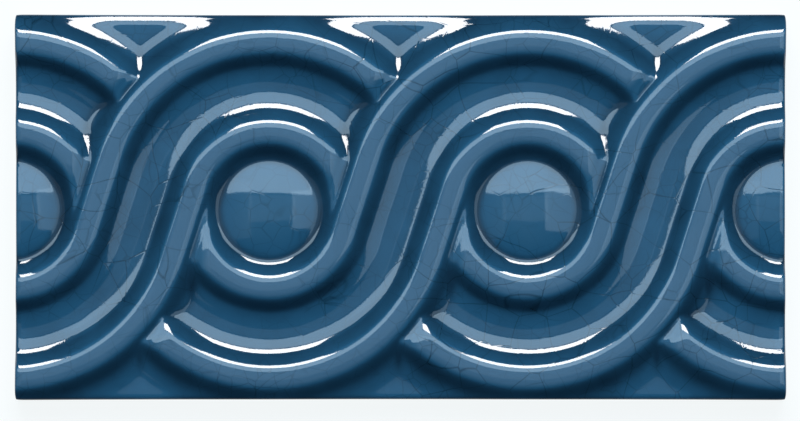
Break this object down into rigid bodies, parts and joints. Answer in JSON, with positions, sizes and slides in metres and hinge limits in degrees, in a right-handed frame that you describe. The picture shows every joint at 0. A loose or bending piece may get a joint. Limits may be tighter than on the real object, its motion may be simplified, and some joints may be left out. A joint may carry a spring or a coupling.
{
  "type": "relief glazed tile",
  "caption": "Oblong glazed ceramic border tile with a raised guilloche of ridged straps weaving past domed bosses, flat at the back for bedding on a wall.",
  "frame": {"origin": "middle of the tile's box, on the plane of the back", "axes": "+X along the tile's long side, +Y across it towards the edge that is on top in the picture, +Z out of the glazed face"},
  "size_m": [0.152, 0.076, 0.0119],
  "materials": {
    "glazed": "glossy translucent blue crackle glaze, pooled darker in the grooves"
  },
  "bodies": {
    "root": {"relief_tile": "glazed"}
  },
  "joints": []
}
